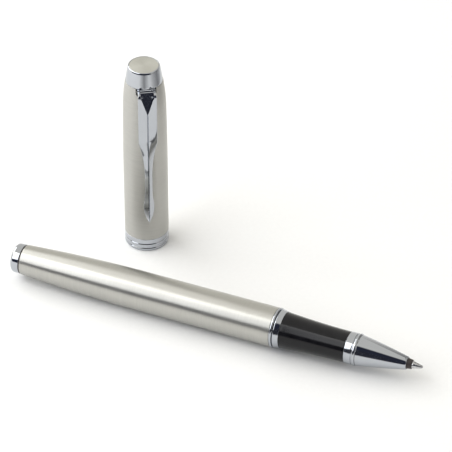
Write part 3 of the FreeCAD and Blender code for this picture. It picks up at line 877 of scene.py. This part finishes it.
def make_finial():
    low = height("cap_tube", 1) + 0.05
    top = height("cap_finial", 1)
    floor = 58.6
    seat = 4.07
    stem = 1.5
    piece = lathe("finial", outline([
        (height("cap_finial", 0), 0),
        (height("cap_finial", 0), stem, 0.3),
        (low, stem),
        (low, 5.16, 0.07),
        (low + 0.2, 5.145, 0, 40.0, 1),
        (top - 0.45, 4.5, 0.1),
        (top - 0.1, 4.36, 0.1),
        (top, 4.22, 0.05),
        (top, 4.10, 0.04),
        (top - 0.12, seat),
        (floor, seat),
        (floor, 0),
    ]), on_cap, FINE_AROUND)
    settle(piece, "cap", "chrome_trim", "cap_finial")


def make_disc():
    low = height("finial_disc", 0)
    top = height("finial_disc", 1)
    side = radius("finial_disc")
    piece = lathe("top_disc", outline([
        (low, 0),
        (low, side),
        (top, side, 0.07),
        (top, 0),
    ]), on_cap, FINE_AROUND)
    settle(piece, "cap", "satin_disc", "finial_disc")


def make_trim_ring():
    """Mouth ring: two grooves leave three slightly rounded bands."""
    low = height("cap_trim_ring", 0)
    top = height("cap_tube", 0) - 0.03
    bore = 5.5
    depth = 0.17
    spigot = 5.78
    corners = [(low, bore, 0.1), (low, TUBE_SIDE - 0.22, 0.1), (low + 0.3, TUBE_SIDE, 0.16)]
    for groove in (1.0, 2.4):
        corners += [
            (groove - 0.26, TUBE_SIDE, 0.12),
            (groove, TUBE_SIDE - depth, 0.04),
            (groove + 0.3, TUBE_SIDE - depth, 0.04),
            (groove + 0.3, TUBE_SIDE, 0.09),
        ]
    corners += [
        (top, TUBE_SIDE, 0.09),
        (top, spigot),
        (height("cap_trim_ring", 1), spigot, 0.1),
        (height("cap_trim_ring", 1), bore, 0.1),
    ]
    piece = lathe("mouth_ring", outline(corners), on_cap, FINE_AROUND)
    settle(piece, "cap", "chrome_trim", "cap_trim_ring")


# Clip -----------------------------------------------------------------------------------------

CLIP_HALF = 2.62
FACET_HALF = 1.75
FACET_TILT = math.radians(18.5)
FACET_START = (5.97, 53.7)
APEX_REACH = 7.87
HEAD_HALF = 2.45
HEAD_REACH = 5.4
ARM_TOP = 53.05  # height where the head's bend ends and the straight arm begins


def smooth(t):
    """Rises gently from 0 to 1."""
    t = min(1, max(0, t))
    return t * t * (3 - 2 * t)


def clip_rows():
    """Rows down the clip: (front, back, middle, half width, facet half width, ridge), where
    front, back and middle are (reach, height) of the wings, the underside and the facet."""
    rows = []
    ridge = 0.15
    bend_front = 1.35
    bend_back = 0.55
    steps = 6
    for i in range(steps):
        t = i / steps
        front = (HEAD_REACH + 1.15 * t, 54.45)
        back = (HEAD_REACH + 1.1 * t, 53.6)
        middle = (HEAD_REACH + 0.15 * t, 54.15)
        rows.append((front, back, middle, HEAD_HALF, FACET_HALF, 0.0))
    steps = 14
    for i in range(steps + 1):
        angle = math.pi / 2 * (1 - i / steps)
        front = (6.55 + bend_front * math.cos(angle), 53.1 + bend_front * math.sin(angle))
        back = (6.5 + bend_back * math.cos(angle), ARM_TOP + bend_back * math.sin(angle))
        turn = math.pi / 2 + (FACET_TILT - math.pi / 2) * i / steps
        middle = (5.55 + 0.45 * math.cos(turn), 53.7 + 0.45 * math.sin(turn))
        half = HEAD_HALF + 0.17 * i / steps
        rows.append((front, back, middle, half, FACET_HALF, ridge * i / steps))
    apex = FACET_START[1] - (APEX_REACH - FACET_START[0]) / math.tan(FACET_TILT)
    tip = height("clip_arm", 0)
    steps = 200
    for i in range(1, steps + 1):
        up = ARM_TOP + (tip - ARM_TOP) * i / steps
        front_reach = 7.9 - 0.25 * (ARM_TOP - up) / 40.0
        if up < 13.0:
            front_reach -= 0.45 * ((13.0 - up) / 2.1) ** 2
        back_reach = 7.05 - 0.2 * (ARM_TOP - up) / 36.5
        if up < 16.5:
            back_reach -= 0.55 * smooth((16.5 - up) / 2.3)
        if up < 14.2:
            back_reach += 0.45 * smooth((14.2 - up) / 3.3)
        middle = (front_reach, up)
        facet = 0.0
        if up > apex:
            share = (up - apex) / (FACET_START[1] - apex)
            middle = (APEX_REACH - share * (APEX_REACH - FACET_START[0]), up)
            facet = FACET_HALF * share
        fall = ridge + 0.4 * smooth((42.0 - up) / 12)
        rows.append(((front_reach, up), (back_reach, up), middle, clip_half(up), facet, fall))
    return rows


def clip_half(up):
    """Half the clip's width: a broad blade, a slim stem and a plain leaf."""
    blade_end = 38.4
    waist = 27.0
    stem = 1.05
    leaf_start = 21.0
    leaf_middle = 16.4
    if up > blade_end:
        return CLIP_HALF
    if up > waist:
        t = (blade_end - up) / (blade_end - waist)
        return stem + (CLIP_HALF - stem) * (1 - t) ** 2
    if up > leaf_start:
        return stem
    if up > leaf_middle:
        return stem + 0.43 * smooth((leaf_start - up) / (leaf_start - leaf_middle))
    t = (leaf_middle - up) / (leaf_middle - height("clip_arm", 0))
    return max(0.06, 1.48 * math.cos(math.pi / 2 * min(1, t)) ** 0.8)


def make_clip():
    """The sprung arm: two wings that fall away from a creased ridge, with a sloping facet
    between them at the top."""
    bm = bmesh.new()
    rings = []
    edge = 0.14
    groove_half = 0.20
    groove_depth = 0.30
    wall = 0.10
    for front, back, middle, half, facet, ridge in clip_rows():
        inward = Vector((back[0] - front[0], back[1] - front[1]))
        thickness = inward.length
        inward.normalize()
        corner = min(edge, half * 0.3)
        inner = max(facet, min(groove_half, half * 0.25))
        groove = groove_depth * smooth((53 - front[1]) / 2) * min(1, half)
        columns = []
        drop_at_edge = ridge * min(1, half / CLIP_HALF * 1.6)
        for share in (1.0, 0.75, 0.5, 0.25, 0.0):
            across = inner + wall + (half - corner - inner - wall) * share
            columns.append((across, drop_at_edge * across / half))
        outer = []
        for i in range(5):
            angle = math.pi / 2 * i / 4
            outer.append((
                half - corner + corner * math.cos(angle),
                drop_at_edge + corner - corner * math.sin(angle),
            ))
        right = [(half - corner, thickness), (half, thickness - corner)] + outer + columns[1:]
        loop = [(across, deep, None) for across, deep in right]
        centre = Vector(middle)
        if facet > 0:
            loop += [(inner, 0, centre), (inner * 0.5, 0, centre), (0, 0, centre)]
        else:
            loop += [(inner, groove * 0.2, None), (inner * 0.5, groove * 0.6, None), (0, groove, None)]
        loop += [(-across, deep, place) for across, deep, place in loop[-2::-1]]
        ring = []
        for across, deep, place in loop:
            if place is None:
                spot = Vector(front) + inward * deep
            else:
                spot = place
            ring.append(clip_vertex(bm, spot, across))
        count = 6
        first = -(half - corner)
        for i in range(1, count):
            across = first - 2 * first * i / count
            spot = Vector(front) + inward * thickness
            if facet > 0 and abs(across) < inner:
                spot = Vector((min(spot.x, middle[0] - 0.45), spot.y))
            ring.append(clip_vertex(bm, spot, across))
        rings.append(ring)
    for ring, following in zip(rings, rings[1:]):
        count = len(ring)
        for i in range(count):
            j = (i + 1) % count
            bm.faces.new((ring[i], ring[j], following[j], following[i]))
    bm.faces.new(rings[0])
    bm.faces.new(rings[-1])
    settle(finish_mesh("clip", bm, 24), "clip", "clip_chrome", "clip_arm")


def clip_vertex(bm, spot, across):
    """A vertex at (reach, height), set off sideways by across."""
    place = Vector((CAP_AXIS.x, CAP_AXIS.y, spot[1] * MM))
    return bm.verts.new(place + (CLIP_OUT * spot[0] + CLIP_SIDE * across) * MM)


# Everything -----------------------------------------------------------------------------------

make_end_cap()
make_barrel()
make_rib()
make_bush()
make_spring()
make_cup()
make_core()
make_band()
make_grip()
make_front_ring()
make_cone()
make_stopper()
make_refill_tube()
make_nose()
make_tip()
make_cap_tube()
make_finial()
make_disc()
make_trim_ring()
make_clip()

# CAD nodes that stay get the finished materials of their slots.
slot_of = {part["node"]: part["material_slot"] for part in frame["record"]["subparts"]}
for node, thing in frame["nodes"].items():
    thing.data.materials.clear()
    thing.data.materials.append(MATERIALS[slot_of[node]])

# Studio ---------------------------------------------------------------------------------------


def make_floor():
    bm = bmesh.new()
    bmesh.ops.create_circle(bm, cap_ends=True, segments=128, radius=0.75)
    floor = finish_mesh("table", bm)
    shader = Shader("pale_table", (0.9, 0.9, 0.9), 0.0, 0.75)
    speckle = shader.noise(900, 3.0)
    shader.tint(speckle, (0.885, 0.885, 0.885), (0.905, 0.905, 0.905))
    shader.bump(speckle, 0.1, 0.02)
    shader.set("Specular IOR Level", 0.1)
    floor.data.materials.append(shader.material)
    floor.location.z = cad_box[0][2]


DAYLIGHT = (0.98, 0.99, 1.0)


def make_light(name, centre, edge, size, radiance):
    """A softbox that faces the object. Its long edge lies as near as it can to edge."""
    data = bpy.data.lights.new(name, "AREA")
    data.shape = "RECTANGLE"
    data.size, data.size_y = size
    data.energy = radiance * math.pi * size[0] * size[1]
    data.color = DAYLIGHT
    light = bpy.data.objects.new(name, data)
    bpy.context.scene.collection.objects.link(light)
    outward = Vector(centre).normalized()
    upward = outward.cross(Vector(edge)).normalized()
    along = upward.cross(outward)
    turn = Matrix((along, upward, outward)).transposed()
    light.matrix_world = Matrix.Translation(Vector(centre)) @ turn.to_4x4()


def make_flag(name, bearing, distance, half_width, top, strength):
    """An upright card with soft edges that only reflections see: it draws a darker band down the
    cap. Its bearing is turned from straight in front of the cap toward +X."""
    bm = bmesh.new()
    bottom = 0.0005  # just clear of the table
    corners = [(-1, bottom), (1, bottom), (1, top), (-1, top)]
    bm.faces.new([bm.verts.new((side * half_width, 0, up)) for side, up in corners])
    flag = finish_mesh(name, bm)
    bearing = math.radians(bearing)
    toward = Vector((math.sin(bearing), -math.cos(bearing), 0))
    flag.location = Vector((CAP_AXIS.x, CAP_AXIS.y, 0)) + toward * distance
    flag.rotation_euler = (0, 0, bearing)
    shader = Shader(name + "_flock", (0.03, 0.03, 0.035), 0.0, 0.9)
    shader.bump(shader.noise(900), 0.3, 0.1)
    shader.fade("X", half_width, strength)
    flag.data.materials.append(shader.material)
    flag.visible_camera = False
    flag.visible_shadow = False
    flag.visible_diffuse = False


def make_world():
    """Warm grey room, darker low down in front; the camera itself sees plain white."""
    world = bpy.data.worlds.new("studio")
    bpy.context.scene.world = world
    world.use_nodes = True
    tree = world.node_tree
    tree.nodes.clear()
    place = tree.nodes.new("ShaderNodeTexCoord")
    toward_front = tree.nodes.new("ShaderNodeVectorMath")
    toward_front.operation = "DOT_PRODUCT"
    toward_front.inputs[1].default_value = Vector((0.10, -1.0, 0.0)).normalized()
    tree.links.new(place.outputs["Generated"], toward_front.inputs[0])
    ramp = tree.nodes.new("ShaderNodeValToRGB")
    ramp.color_ramp.elements[0].position = 0.36
    ramp.color_ramp.elements[0].color = (0.87, 0.85, 0.79, 1)
    ramp.color_ramp.elements[1].position = 0.47
    ramp.color_ramp.elements[1].color = (0.032, 0.036, 0.056, 1)
    tree.links.new(toward_front.outputs["Value"], ramp.inputs["Fac"])
    room = tree.nodes.new("ShaderNodeBackground")
    tree.links.new(ramp.outputs["Color"], room.inputs["Color"])
    plain = tree.nodes.new("ShaderNodeBackground")
    plain.inputs["Color"].default_value = (1, 1, 1, 1)
    path = tree.nodes.new("ShaderNodeLightPath")
    mix = tree.nodes.new("ShaderNodeMixShader")
    tree.links.new(path.outputs["Is Camera Ray"], mix.inputs["Fac"])
    tree.links.new(room.outputs["Background"], mix.inputs[1])
    tree.links.new(plain.outputs["Background"], mix.inputs[2])
    output = tree.nodes.new("ShaderNodeOutputWorld")
    tree.links.new(mix.outputs["Shader"], output.inputs["Surface"])


def make_camera():
    """Looks down from the front right with a long lens."""
    azimuth = math.radians(23.5)
    elevation = math.radians(37.0)
    distance = 0.8972
    aim = Vector((-0.0100, 0.0157, 0.0105))
    level = math.cos(elevation)
    back = Vector((math.sin(azimuth) * level, -math.cos(azimuth) * level, math.sin(elevation)))
    data = bpy.data.cameras.new("camera")
    data.lens = 254.9
    data.sensor_width = 36.0
    data.clip_start = 0.01
    camera = bpy.data.objects.new("camera", data)
    camera.location = aim + back * distance
    camera.rotation_euler = back.to_track_quat("Z", "Y").to_euler()
    bpy.context.scene.collection.objects.link(camera)
    bpy.context.scene.camera = camera


make_floor()
make_light("key_softbox", (-0.52, -0.55, 0.63), (0.873, -0.357, 0.333), (0.88, 0.86), 2.65)
make_light("side_softbox", (-0.90, 0.15, 0.62), (0, 1, 0), (0.8, 0.6), 3.8)
make_flag("front_flag", 25, 0.130, 0.070, 0.060, 0.65)
make_flag("right_flag", 112, 0.105, 0.120, 0.120, 0.70)
make_world()
make_camera()
bpy.context.scene.view_settings.view_transform = "Standard"
